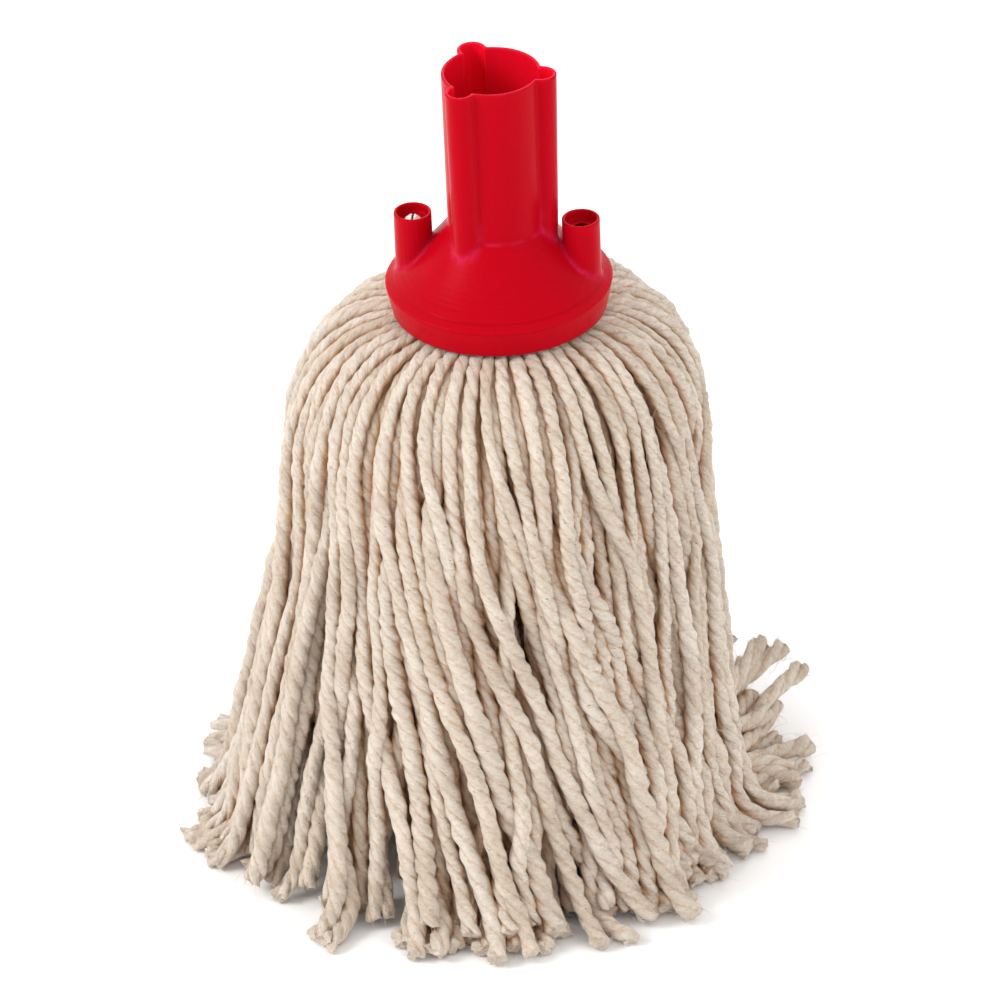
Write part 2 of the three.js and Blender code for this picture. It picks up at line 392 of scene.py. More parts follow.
def settle(plans):
    """The strands' knots, after they have pushed each other aside and come to rest."""
    target = np.stack([plan["knots"] for plan in plans])
    thickness = np.array([plan["thickness"] for plan in plans])
    step = np.linalg.norm(np.diff(target, axis=1), axis=2)[:, :, None]
    knots = target.copy()
    count, per = knots.shape[:2]
    strand = np.repeat(np.arange(count), per)
    size = (thickness[:, None] * fullness(np.linspace(0, 1, per))[None, :]).ravel()
    rest_bend = 0.5 * (target[:, :-2] + target[:, 2:]) - target[:, 1:-1]
    for turn in range(SETTLE_STEPS):
        flat = knots.reshape(-1, 3)
        if turn % PAIRING_STEPS == 0:
            first, second = close_pairs(flat.astype(np.float32), strand, THICKNESS * THICKEST + CLOSE)
            want = 0.5 * TOUCHING * (size[first] + size[second])
        knots = (flat + PUSH * pushed_apart(flat, first, second, want)).reshape(count, per, 3)
        bend = 0.5 * (knots[:, :-2] + knots[:, 2:]) - knots[:, 1:-1] - rest_bend
        knots[:, 1:-1] += UNBEND * bend
        keep_lengths(knots, step)
        knots += HOMING * (target - knots)
        knots[:, :PINNED] = target[:, :PINNED]
        keep_in_room(knots, thickness[:, None] / 2)
    return np.stack([relaxed(line, SMOOTHING) for line in knots])


# -------- how deep in the bell a place is, for the painted shade there
ROOM_CELL = 0.002
ROOM_HALF, ROOM_TOP = 0.116, 0.200
BLURS = 3
OUTLOOK = 0.004  # a place gets painted shade from the yarn that lies this far outside it


def yarn_density(settled, thickness):
    """Yarn in the cells of a coarse grid, blurred, as a share of what packed strands would give."""
    shape = (int(2 * ROOM_HALF / ROOM_CELL), int(2 * ROOM_HALF / ROOM_CELL), int(ROOM_TOP / ROOM_CELL))
    between = 0.5 * (settled[:, 1:] + settled[:, :-1])
    points = np.concatenate([settled, between], 1).reshape(-1, 3)
    run = np.linalg.norm(np.diff(settled, axis=1), axis=2).mean(1) / 2
    weight = np.repeat(run * thickness**2, settled.shape[1] + between.shape[1]) / ROOM_CELL**3
    index = ((points + (ROOM_HALF, ROOM_HALF, 0)) / ROOM_CELL).astype(int)
    index = np.clip(index, 0, np.array(shape) - 1)
    grid = np.bincount(np.ravel_multi_index(tuple(index.T), shape), weight, math.prod(shape)).reshape(shape)
    for axis in (0, 1, 2) * BLURS:
        grid = (grid + np.roll(grid, 1, axis) + np.roll(grid, -1, axis)) / 3
    return grid.astype(np.float32)


def density_at(grid, points):
    """The grid's values at points, between the middles of its cells."""
    place = (points + (ROOM_HALF, ROOM_HALF, 0)) / ROOM_CELL - 0.5
    place = np.clip(place, 0, np.array(grid.shape) - 1.001)
    low = place.astype(int)
    part = place - low
    total = 0
    for corner in np.ndindex(2, 2, 2):
        share = np.prod(np.where(corner, part, 1 - part), axis=-1)
        total = total + share * grid[tuple(np.moveaxis(low + corner, -1, 0))]
    return total


# -------- strand meshes
PLIES = 3
PLY_HALF = 180 / PLIES  # degrees of the strand's outline on each side of a ply's middle
PLY_SAMPLES, HIDDEN_SAMPLES = 6, 4  # corners round a ply, and round one on a strand that others hide
RING_STEP = 0.0015
PITCH_TOP, PITCH_END = 0.0155, 0.022  # one turn of the plies, by the clamp and at the cut end
# How far a ply's middle is from the strand's, over half the strand's thickness: by the clamp, and how much
# more by the end, over the loose last stretch, and in the flare at the cut
PLY_OFFSET, OFFSET_BY_END, OFFSET_LOOSE, OFFSET_FLARE = 0.235, 0.06, 0.08, 0.07
SWELL_LOOSE, SWELL_FLARE = 0.05, 0.12  # shares that the thickness grows by there
LOOSE_LENGTH, FLARE_LENGTH = 0.055, 0.007
PLY_FATNESS = 0.055  # how much the plies' thickness varies along them
WOOL = 0.055  # roughness of the skin
CUT_STEP, CUT_ROUGHNESS = 0.0011, 0.00022  # how unevenly the plies, and the fibres in them, are cut
CUT_LENGTH = 0.010  # the stretch that gives way to the uneven cut
CUT_DOME = 0.0005  # how far the middle of a cut end stands out
CUT_GROOVE_SHADE = 0.3  # the cut ends' share of the painted shade that the grooves between the plies get


def curve_through(knots, step):
    """A smooth line, a cubic B-spline of the knots, sampled about every step."""
    padded = np.concatenate([2 * knots[:1] - knots[1:2], knots, 2 * knots[-1:] - knots[-2:-1]])
    fine = np.linspace(0, len(knots) - 1, 6 * len(knots))
    index = np.minimum(fine.astype(int), len(knots) - 2)
    t = (fine - index)[:, None]
    p0, p1, p2 = padded[index], padded[index + 1], padded[index + 2]
    p3 = padded[np.minimum(index + 3, len(padded) - 1)]
    line = (
        (1 - t) ** 3 * p0
        + (3 * t**3 - 6 * t**2 + 4) * p1
        + (-3 * t**3 + 3 * t**2 + 3 * t + 1) * p2
        + t**3 * p3
    ) / 6
    length = length_of(line)
    return resampled(line, max(8, int(length / step)), length), length


def carried_frames(line):
    """Tangents and two normals along a line, carried along it without twist."""
    tangent = np.gradient(line, axis=0)
    tangent /= np.linalg.norm(tangent, axis=1)[:, None]
    side = np.empty_like(line)
    start = np.cross(tangent[0], (0.0, 0.0, 1.0))
    side[0] = start / np.linalg.norm(start)
    for i in range(1, len(line)):
        bent = side[i - 1] - tangent[i] * (side[i - 1] @ tangent[i])
        side[i] = bent / math.sqrt(bent @ bent)
    return tangent, side, np.cross(tangent, side)


def slow_noise(count, step, scale):
    """Smooth random numbers along a line, about unit size, that change over the length scale."""
    knots = max(4, int(count * step / scale) + 4)
    values = draw.normal(0, 1, knots)
    place = np.linspace(0, knots - 3.001, count)
    index = place.astype(int)
    t = place - index
    return values[index] + (values[index + 1] - values[index]) * t * t * (3 - 2 * t)


def woolly(rings, columns):
    """Fine unevenness over a strand's skin, about unit size."""
    rough = draw.normal(0, 1, (rings, columns))
    rough = rough + np.roll(rough, 1, 1) + np.roll(rough, -1, 1)
    rough[1:-1] = rough[1:-1] + 0.5 * (rough[:-2] + rough[2:])
    return rough / 2.2


def strand_lay(along, step):
    """Along a strand: the plies' turn, their offset from its middle, and how much it swells."""
    length, rings = along[-1], len(along)
    share = along / length
    pitch = (PITCH_TOP + (PITCH_END - PITCH_TOP) * share**2) * draw.uniform(0.85, 1.25)
    twist = draw.uniform(0, 2 * math.pi) - np.cumsum(2 * math.pi * step / pitch)
    twist += 0.35 * slow_noise(rings, step, 0.018)
    to_end = length - along
    loose, flare = smooth(LOOSE_LENGTH, 0.0, to_end), smooth(FLARE_LENGTH, 0.0, to_end)
    offset = PLY_OFFSET + OFFSET_BY_END * share + OFFSET_LOOSE * loose + OFFSET_FLARE * flare
    offset = offset * (1 + 0.10 * slow_noise(rings, step, 0.02))
    swell = fullness(share) + SWELL_LOOSE * loose + SWELL_FLARE * flare
    swell = swell * (1 + 0.045 * slow_noise(rings, step, 0.014) + 0.035 * slow_noise(rings, step, 0.004))
    return twist, offset, swell


def ply_outlines(offset, local, step):
    """Radius round each ring over half the strand's thickness, and the angle there before the twist.

    The local angles go round one ply, from its middle."""
    rings, samples = len(offset), len(local)
    radius = np.empty((rings, PLIES * samples))
    angle = np.empty((rings, PLIES * samples))
    for ply in range(PLIES):
        fat = 1 + PLY_FATNESS * slow_noise(rings, step, 0.009)
        middle = offset[:, None] * np.cos(local)[None, :]
        lobe = (1 - offset)[:, None] ** 2 - (offset[:, None] * np.sin(local)[None, :]) ** 2
        part = slice(ply * samples, (ply + 1) * samples)
        fat = fat[:, None] ** np.cos(PLIES / 2 * local)  # but not in the grooves
        radius[:, part] = (middle + np.sqrt(np.maximum(lobe, 0.01))) * fat
        angle[:, part] = local[None, :] + ply * 2 * math.pi / PLIES
    return radius, angle


def strand_faces(rings, columns):
    """Quads along the skin, quads and a fan over the cut end, and a fan over the clamped end."""
    tail = np.arange(columns)
    ahead = np.roll(tail, -1)
    a = (np.arange(rings - 1)[:, None] * columns + tail[None, :]).ravel()
    b = (np.arange(rings - 1)[:, None] * columns + ahead[None, :]).ravel()
    skin = np.stack([a, b, b + columns, a + columns], 1)
    inner = rings * columns
    last, hub = inner - columns, inner + columns
    rim = np.stack([last + tail, last + ahead, inner + ahead, inner + tail], 1)
    fan = np.stack([inner + tail, inner + ahead, np.full(columns, hub)], 1)
    back = np.stack([ahead, tail, np.full(columns, hub + 1)], 1)
    return skin, rim, np.concatenate([fan, back])


def strand_mesh(knots, thickness, tint, ring_step=RING_STEP, samples=PLY_SAMPLES, density=None):
    """Vertices, faces and attributes of one plied strand with a blunt cut end, and its ring centres."""
    line, length = curve_through(knots, ring_step)
    rings, columns = len(line), PLIES * samples
    step = length / (rings - 1)
    along = np.linspace(0, length, rings)
    tangent, side, other = carried_frames(line)
    twist, offset, swell = strand_lay(along, step)
    local = np.radians(np.arange(samples) * (2 * PLY_HALF / samples) - PLY_HALF)
    radius, fixed = ply_outlines(offset, local, step)
    radius *= 0.5 * thickness * swell[:, None] * (1 + WOOL * woolly(rings, columns))
    angle = fixed + twist[:, None]
    cut = np.repeat(draw.uniform(-CUT_STEP, CUT_STEP, PLIES), samples)
    cut += draw.normal(0, CUT_ROUGHNESS, columns)
    slide = smooth(CUT_LENGTH, 0.0, length - along)[:, None] * cut[None, :]
    outward = side[:, None, :] * np.cos(angle)[:, :, None] + other[:, None, :] * np.sin(angle)[:, :, None]
    points = line[:, None, :] + outward * radius[:, :, None] + tangent[:, None, :] * slide[:, :, None]
    points[:, :, 2] = np.maximum(points[:, :, 2], ON_FLOOR)

    middle = line[-1] + tangent[-1] * cut.mean()
    lumps = draw.normal(0, 0.0002, columns)[:, None]
    inner = 0.5 * points[-1] + 0.5 * (middle + tangent[-1] * 0.4 * (cut - cut.mean())[:, None])
    inner = inner + tangent[-1] * lumps
    hub = middle + tangent[-1] * CUT_DOME
    vertices = np.concatenate([points.reshape(-1, 3), inner, [hub], [line[0]]])
    vertices[:, 2] = np.maximum(vertices[:, 2], ON_FLOOR)

    count = rings * columns
    # painted shade: darker and browner where much yarn lies just outside a place
    painted_shade = np.zeros(len(vertices))
    if density is not None:
        painted_shade[:count] = density_at(density, points + OUTLOOK * outward).ravel()
        painted_shade[count:-1] = density_at(density, vertices[count:-1] + OUTLOOK * tangent[-1])
    run = np.tile(along[:, None], (1, columns))
    fibre = np.stack([radius * np.cos(fixed), radius * np.sin(fixed), run], 2)
    inward = fibre[-1] * (0.5, 0.5, 1.0)
    fibre = np.concatenate([fibre.reshape(-1, 3), inward, [fibre[-1].mean(0)], [fibre[0].mean(0)]])
    groove = np.tile(np.abs(local) / math.radians(PLY_HALF), PLIES * rings)
    skin, rim, triangles = strand_faces(rings, columns)
    return {
        "vertices": vertices,
        "quads": np.concatenate([skin, rim]),
        "rounded": np.repeat([True, False], [len(skin), len(rim)]),
        "triangles": triangles,
        "fibre": fibre + draw.uniform(-1, 1, 3),
        "groove": np.concatenate([groove, np.full(columns + 2, CUT_GROOVE_SHADE)]),
        "tint": np.full(len(vertices), tint),
        "painted_shade": painted_shade,
        "centres": line,
        "length": length,
        "skin": (points, outward, tangent),
    }


def quad_shape(vertices, quads, marks):
    """A shape of rounded quads, with the attributes that its material reads."""
    rounded = np.ones(len(quads), bool)
    triangles = np.zeros((0, 3), int)
    return {"vertices": vertices, "quads": quads, "rounded": rounded, "triangles": triangles, **marks}


# -------- lint: loose fibres that stand off the strands
LINT_PER_METRE = 1100
LINT_PER_END = 45
LINT_REACH = 0.0006  # half of a fibre's reach, on average
LINT_HALF_WIDTH = 0.00007
LINT_TAPER = np.array([1.0, 0.9, 0.7, 0.3])
LINT_BARE = 0.08  # share of a strand, from the clamp, that has none
LINT_WIDEST = 0.110  # half the width of the space that they may take up


def lint_mesh(shapes, density):
    """The lint of several strands, as narrow ribbons."""
    starts, ways, runs = [], [], []
    for shape in shapes:
        points, outward, tangent = shape["skin"]
        rings, columns = points.shape[:2]
        many = int(LINT_PER_METRE * shape["length"])
        ring = draw.integers(int(LINT_BARE * rings), rings, many)
        ring = np.concatenate([ring, draw.integers(rings - 4, rings, LINT_PER_END)])
        column = draw.integers(0, columns, len(ring))
        starts.append(points[ring, column])
        ways.append(outward[ring, column])
        runs.append(tangent[ring])
    start, out, run = (np.concatenate(part) for part in (starts, ways, runs))
    count = len(start)
    reach = draw.gamma(2.0, LINT_REACH, (count, 1))
    along = draw.normal(0, 1, (count, 1)) * reach * 1.3
    bend = draw.normal(0, 1, (count, 3)) * reach * 0.45
    share = np.linspace(0, 1, len(LINT_TAPER))[None, :, None]
    path = start[:, None] + out[:, None] * (reach[:, None] * (1.5 * share - 0.7 * share**2))
    path = path + run[:, None] * (along[:, None] * share) + bend[:, None] * share**2
    wide = np.cross(run, draw.normal(0, 1, (count, 3)))
    wide *= LINT_HALF_WIDTH / np.linalg.norm(wide, axis=1)[:, None]
    taper = LINT_TAPER[None, :, None]
    vertices = np.stack([path - wide[:, None] * taper, path + wide[:, None] * taper], 2).reshape(-1, 3)
    vertices = np.clip(vertices, (-LINT_WIDEST, -LINT_WIDEST, ON_FLOOR), (LINT_WIDEST, LINT_WIDEST, EDGE))
    each = 2 * len(LINT_TAPER)
    base = np.arange(count)[:, None] * each + np.arange(len(LINT_TAPER) - 1)[None, :] * 2
    quads = np.stack([base, base + 1, base + 3, base + 2], 2).reshape(-1, 4)
    plain = np.zeros(len(vertices))
    marks = {"fibre": vertices, "groove": plain, "tint": plain, "painted_shade": density_at(density, vertices)}
    return quad_shape(vertices, quads, marks)


# -------- mesh objects
def joined(parts):
    """Several strand meshes as one."""
    shift = np.cumsum([0] + [len(p["vertices"]) for p in parts[:-1]])
    keys = ("vertices", "rounded", "fibre", "groove", "tint", "painted_shade")
    whole = {key: np.concatenate([part[key] for part in parts]) for key in keys}
    for kind in ("quads", "triangles"):
        whole[kind] = np.concatenate([p[kind] + s for p, s in zip(parts, shift)])
    return whole


def mesh_object(name, shape, material):
    """A Blender object of a shape's quads and triangles, with its attributes."""
    mesh = bpy.data.meshes.new(name)
    quads, triangles = shape["quads"], shape["triangles"]
    mesh.vertices.add(len(shape["vertices"]))
    mesh.vertices.foreach_set("co", shape["vertices"].astype(np.float32).ravel())
    corners = np.concatenate([quads.ravel(), triangles.ravel()]).astype(np.int32)
    mesh.loops.add(len(corners))
    mesh.loops.foreach_set("vertex_index", corners)
    mesh.polygons.add(len(quads) + len(triangles))
    starts = np.concatenate([np.arange(len(quads)) * 4, 4 * len(quads) + np.arange(len(triangles)) * 3])
    mesh.polygons.foreach_set("loop_start", starts.astype(np.int32))
    mesh.update(calc_edges=True)
    rounded = np.concatenate([shape["rounded"], np.zeros(len(triangles), bool)])
    mesh.polygons.foreach_set("use_smooth", rounded)
    for key in ("groove", "tint", "painted_shade", "stress", "seam_and_ledge_line", "painted_light_inside"):
        if key in shape:
            data = mesh.attributes.new(key, "FLOAT", "POINT").data
            data.foreach_set("value", shape[key].astype(np.float32))
    if "fibre" in shape:
        data = mesh.attributes.new("fibre", "FLOAT_VECTOR", "POINT").data
        data.foreach_set("vector", shape["fibre"].astype(np.float32).ravel())
    mesh.materials.append(material)
    made = bpy.data.objects.new(name, mesh)
    bpy.context.scene.collection.objects.link(made)
    return made


# -------- socket
# In millimetres, with heights measured from the flange's outer edge
FLANGE, SKIRT_FOOT_RADIUS, SKIRT = 35.0, 33.1, 1000 * SKIRT_DEPTH
CONE_HEIGHT, CONE_LINEAR = 19.8, 0.6
TUBE_FOOT, TUBE_TOP, TUBE_HEIGHT, TUBE_WALL, TUBE_FLOOR = 15.05, 15.35, 72.3, 1.1, 6.0
WALL, SHELL, SHELL_DROP = 1.5, 1.8, 2.43
RIB, RIB_FOOT, RIB_TOP, GROOVE_FLOOR = 4.6, 14.0, 15.1, 22.0
BOSS, BOSS_OFFSET, BOSS_HEIGHT, BOSS_FLOOR, BOSS_HOLE = 5.85, 26.0, 22.0, 0.4, 2.0
RECESS, RECESS_DEPTH = 4.875, 3.0
LEDGE_RADIUS, LEDGE_RISE, LEDGE_RUN = 32.4, 0.22, 0.25  # a low moulded step round the cone
FILLET, SOFT_EDGE, SHARP_EDGE = 0.8, 0.4, 0.2
BEYOND = -9  # past the axis, so that an outline's own edge there is out of reach
CELL = 0.55  # size of the cells that the surface is found in
MARGIN = 1.3  # clear space round the socket
TABLE_STEP, TABLE_RADIUS, TABLE_LOW, TABLE_HIGH = 0.2, 42, -16, 82
FAR = 1e9


def cone_height(radius):
    """Height of the cone's outside, which rises from the flange to the tube in a hollow curve."""
    t = (FLANGE - radius) / (FLANGE - TUBE_FOOT)
    ledge = LEDGE_RISE * smooth(LEDGE_RADIUS, LEDGE_RADIUS - LEDGE_RUN, radius)
    return CONE_HEIGHT * (CONE_LINEAR * t + (1 - CONE_LINEAR) * t * t) + ledge


def profile_table(outline):
    """Signed distances from a closed outline of (radius, height) points, tabled over a half plane."""
    r = np.arange(0, TABLE_RADIUS, TABLE_STEP)[:, None]
    h = np.arange(TABLE_LOW, TABLE_HIGH, TABLE_STEP)[None, :]
    nearest = np.full((r.shape[0], h.shape[1]), FAR)
    inside = np.zeros_like(nearest, bool)
    for (r0, h0), (r1, h1) in zip(outline, outline[1:] + outline[:1]):
        er, eh = r1 - r0, h1 - h0
        t = np.clip(((r - r0) * er + (h - h0) * eh) / (er * er + eh * eh + 1e-12), 0, 1)
        nearest = np.minimum(nearest, (r - r0 - t * er) ** 2 + (h - h0 - t * eh) ** 2)
        if h0 != h1:
            crosses = (h0 > h) != (h1 > h)
            inside ^= crosses & (r < r0 + (h - h0) * er / eh)
    return np.where(inside, -1, 1) * np.sqrt(nearest)


def looked_up(table, r, h):
    """A table's value at a radius and height, between its entries."""
    i = np.clip(r / TABLE_STEP, 0, table.shape[0] - 1.001)
    j = np.clip((h - TABLE_LOW) / TABLE_STEP, 0, table.shape[1] - 1.001)
    i0, j0 = i.astype(int), j.astype(int)
    u, v = i - i0, j - j0
    low = table[i0, j0] * (1 - u) + table[i0 + 1, j0] * u
    high = table[i0, j0 + 1] * (1 - u) + table[i0 + 1, j0 + 1] * u
    return low * (1 - v) + high * v


def merged(a, b, blend):
    """The nearer of two solids, with a fillet of about the blend's size where they meet."""
    near = np.maximum(blend - np.abs(a - b), 0) / blend
    return np.minimum(a, b) - near * near * blend / 4


def without(a, b, blend=SOFT_EDGE):
    """Solid a with b cut away, its new edges softened."""
    return -merged(-a, b, blend)


def socket_tables():
    """The socket's outside, the cup under it and the bore, each turned round the axis."""
    outside = [(BEYOND, -SKIRT), (SKIRT_FOOT_RADIUS, -SKIRT)]
    outside += [(r, float(cone_height(r))) for r in np.linspace(FLANGE, TUBE_FOOT, 40)]
    outside += [(TUBE_TOP, TUBE_HEIGHT + 9), (BEYOND, TUBE_HEIGHT + 9)]
    cup_radius = SKIRT_FOOT_RADIUS - WALL
    inner = np.linspace(FLANGE - WALL - 0.3, TUBE_FOOT + SHELL, 24)
    cup = [(BEYOND, -SKIRT - 5), (cup_radius, -SKIRT - 5), (cup_radius, -SKIRT)]
    cup += [(r, float(cone_height(r)) - SHELL_DROP) for r in inner]
    cup += [(TUBE_FOOT, TUBE_FLOOR - SHELL), (BEYOND, TUBE_FLOOR - SHELL)]
    bore = [(BEYOND, TUBE_FLOOR), (TUBE_FOOT - TUBE_WALL, TUBE_FLOOR)]
    bore += [(TUBE_TOP - TUBE_WALL, TUBE_HEIGHT + 5), (BEYOND, TUBE_HEIGHT + 5)]
    return [profile_table(outline) for outline in (outside, cup, bore)]


def rib_distance(x, y, h, radius):
    """Distance from the nearest of the three bars that lean out with the mould's draft."""
    offset = RIB_FOOT + h * (RIB_TOP - RIB_FOOT) / (TUBE_HEIGHT - CONE_HEIGHT)
    nearest = np.full(np.shape(x), FAR)
    for turn in (0, 2 * math.pi / 3, 4 * math.pi / 3):
        across = np.hypot(x - offset * math.cos(turn), y - offset * math.sin(turn))
        nearest = np.minimum(nearest, across)
    return nearest - radius


def socket_distance(x, y, h, tables):
    """Signed distance from the whole moulding."""
    outside, cup, bore = tables
    r = np.hypot(x, y)
    body = merged(looked_up(outside, r, h), rib_distance(x, y, h, RIB), FILLET)
    body = without(body, TUBE_HEIGHT - h)
    from_boss = np.hypot(np.abs(x) - BOSS_OFFSET, y)
    boss = without(np.maximum(from_boss - BOSS, -h), BOSS_HEIGHT - h)
    body = merged(body, boss, FILLET)
    body = without(body, looked_up(cup, r, h))
    body = without(body, looked_up(bore, r, h))
    body = without(body, np.maximum(rib_distance(x, y, h, RIB - TUBE_WALL), GROOVE_FLOOR - h))
    ledge = BOSS_HEIGHT - RECESS_DEPTH
    body = without(body, np.maximum(from_boss - RECESS, ledge - h))
    body = without(body, np.maximum(from_boss - BOSS_HOLE, -h), SHARP_EDGE)
    hollow = np.maximum(np.maximum(from_boss - BOSS + WALL, -h), h - ledge + BOSS_FLOOR)
    return without(body, hollow, SHARP_EDGE)


def neighbours(axis):
    """Picks all places of a grid but the last along an axis, and all but the first."""
    behind, ahead = [slice(None)] * 3, [slice(None)] * 3
    behind[axis], ahead[axis] = slice(None, -1), slice(1, None)
    return tuple(behind), tuple(ahead)


def cell_vertices(field, cells):
    """For each cell, how many of its edges cross the surface, and the sum of the places where they do."""
    total, count = np.zeros((*cells, 3), np.float32), np.zeros(cells, np.float32)
    for axis in range(3):
        a, b = (field[part] for part in neighbours(axis))
        crosses = (a < 0) != (b < 0)
        share = np.where(crosses, a / np.where(crosses, a - b, 1), 0)
        others = [k for k in range(3) if k != axis]
        for shift in np.ndindex(2, 2):
            pick = [slice(None)] * 3
            for other, offset in zip(others, shift):
                pick[other] = slice(offset, offset + cells[other])
            hit = crosses[tuple(pick)]
            count += hit
            total[..., axis] += share[tuple(pick)] * hit
            for other, offset in zip(others, shift):
                total[..., other] += offset * hit
    return total, count


def surface_of(distance, low, high, cell):
    """A smooth quad mesh of the zero surface of a distance function, one vertex in each cell it crosses."""
    axes = [np.arange(a, b + cell, cell) for a, b in zip(low, high)]
    field = distance(*np.meshgrid(*axes, indexing="ij")).astype(np.float32)
    inside = field < 0
    cells = tuple(np.array(field.shape) - 1)
    total, count = cell_vertices(field, cells)
    used = count > 0
    number = np.full(cells, -1)
    number[used] = np.arange(used.sum())
    vertices = (np.argwhere(used) + total[used] / count[used][:, None]) * cell + np.array(low)
    quads = []
    for axis in range(3):
        behind, ahead = neighbours(axis)
        place = np.argwhere(inside[behind] != inside[ahead])
        u, v = (axis + 1) % 3, (axis + 2) % 3
        place = place[(place[:, u] > 0) & (place[:, v] > 0)]
        steps = np.zeros((4, 3), int)
        steps[1, u] = steps[2, u] = steps[2, v] = steps[3, v] = -1
        ring = np.stack([number[tuple((place + step).T)] for step in steps], 1)
        outward = inside[tuple(place.T)]
        quads.append(np.where(outward[:, None], ring, ring[:, ::-1]))
    return vertices, np.concatenate(quads)


def drawn_to_surface(vertices, distance, rounds=4, reach=0.05):
    """Vertices moved on to the zero surface along the distance function's slope."""
    for _ in range(rounds):
        slope = np.empty_like(vertices)
        for axis in range(3):
            step = np.zeros(3)
            step[axis] = reach
            slope[:, axis] = distance(*(vertices + step).T) - distance(*(vertices - step).T)
        slope /= 2 * reach
        value = distance(*vertices.T)
        vertices = vertices - slope * (0.7 * value / np.maximum((slope**2).sum(1), 0.2))[:, None]
    return vertices


def near(value, width):
    """1 where the value is 0, falling off over the width."""
    return np.exp(-((value / width) ** 2))


def socket_marks(x, y, h, tables):
    """Where the plastic is stressed and paler, where it is darker along the parting line and the ledge
    step, and where light is painted in as a paler red inside the bore and the rib grooves.
    """
    outside, _, bore = tables
    r = np.hypot(x, y)
    cone = np.abs(looked_up(outside, r, h))
    by_rib = np.abs(rib_distance(x, y, h, RIB))
    by_boss = np.abs(np.hypot(np.abs(x) - BOSS_OFFSET, y) - BOSS)
    joint = np.maximum(near(cone + by_rib, 1.1), near(cone + by_boss, 1.1)) * smooth(30, 16, h)
    tube_foot = near(r - TUBE_FOOT, 0.5) * near(h - CONE_HEIGHT, 0.5)
    rim = near(h - TUBE_HEIGHT, 0.35)
    stress = np.maximum(np.maximum(joint, 0.8 * tube_foot), 0.45 * rim)
    seam_and_ledge_line = near(h + 0.5, 0.3) * (r > SKIRT_FOOT_RADIUS)
    # a darker line also runs along the ledge step
    seam_and_ledge_line = np.maximum(seam_and_ledge_line, 0.6 * near(r - LEDGE_RADIUS, 0.25) * (cone < 0.4))
    # painted light: a paler red inside the bore, more of it higher up, and full in the rib grooves
    painted_light_inside = 0.65 * smooth(0.6, 0.2, np.abs(looked_up(bore, r, h))) * smooth(TUBE_FLOOR, 30, h)
    in_groove = (rib_distance(x, y, h, RIB - 0.4 * TUBE_WALL) < 0) * (r < TUBE_TOP + 4)
    return {"stress": stress, "seam_and_ledge_line": seam_and_ledge_line, "painted_light_inside": np.maximum(painted_light_inside, in_groove)}


def make_socket(material):
    tables = socket_tables()

    def distance(x, y, h):
        return socket_distance(x, y, h, tables)

    side = FLANGE + MARGIN
    low, high = (-side, -side, -SKIRT - MARGIN), (side, side, TUBE_HEIGHT + MARGIN)
    vertices, quads = surface_of(distance, low, high, CELL)
    vertices = drawn_to_surface(vertices, distance)
    shape = quad_shape(vertices / 1000 + (0, 0, EDGE), quads, socket_marks(*vertices.T, tables))
    made = mesh_object("moulded_socket", shape, material)
    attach(made, "root")
    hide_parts("socket")


# -------- materials
class Look:
    """A new material, and the kinds of node that the materials here are made of."""

    def __init__(self, name):
        self.material = bpy.data.materials.new(name)
        self.material.use_nodes = True
        self.tree = self.material.node_tree
        self.shader = self.tree.nodes["Principled BSDF"]

    def add(self, kind, **values):
        node = self.tree.nodes.new("ShaderNode" + kind)
        for key, value in values.items():
            if key in node.inputs:
                node.inputs[key].default_value = value
            else:
                setattr(node, key, value)
        return node

    def feed(self, socket, value):
        """Sets a socket to a number or a colour, or links it to another node's output."""
        if isinstance(value, (int, float)):
            socket.default_value = value
        elif isinstance(value, tuple):
            socket.default_value = (*value, 1)
        else:
            self.tree.links.new(value, socket)

    def attribute(self, name, output="Fac"):
        return self.add("Attribute", attribute_name=name).outputs[output]

    def texture(self, kind, place, output, **values):
        node = self.add(kind, **values)
        self.feed(node.inputs["W" if values.get("noise_dimensions") == "1D" else "Vector"], place)
        return node.outputs[output]

    def noise(self, place, **values):
        return self.texture("TexNoise", place, "Fac", **values)

    def dots(self, place, scale, radius, edge):
        """1 on small dots with soft edges, scattered at random."""
        distance = self.texture("TexVoronoi", place, "Distance", Scale=scale, Randomness=1.0)
        return self.ranged(distance, radius, edge)

    def stretched(self, place, scale):
        node = self.add("Mapping", Scale=scale)
        self.feed(node.inputs["Vector"], place)
        return node.outputs["Vector"]

    def ranged(self, source, low, high):
        """The source's values from low to high, spread over 0 to 1."""
        node = self.add("MapRange", **{"From Min": low, "From Max": high})
        self.feed(node.inputs["Value"], source)
        return node.outputs["Result"]

    def mixed(self, factor, first, second, blend="MIX"):
        node = self.add("Mix", data_type="RGBA", blend_type=blend)
        for socket, value in (("Factor", factor), ("A", first), ("B", second)):
            self.feed(node.inputs[socket], value)
        return node.outputs["Result"]

    def maths(self, operation, first, second):
        node = self.add("Math", operation=operation)
        for socket, value in zip(node.inputs, (first, second)):
            self.feed(socket, value)
        return node.outputs[0]

    def finished(self, colour, height=None, strength=1.0, depth=0.0, **values):
        """Gives the shader its colour, its bump of that depth in metres, and its plain values."""
        self.feed(self.shader.inputs["Base Color"], colour)
        if height is not None:
            bump = self.add("Bump", Strength=strength, Distance=depth)
            self.feed(bump.inputs["Height"], height)
            self.feed(self.shader.inputs["Normal"], bump.outputs["Normal"])
        for name, value in values.items():
            self.shader.inputs[name].default_value = value
        return self.material


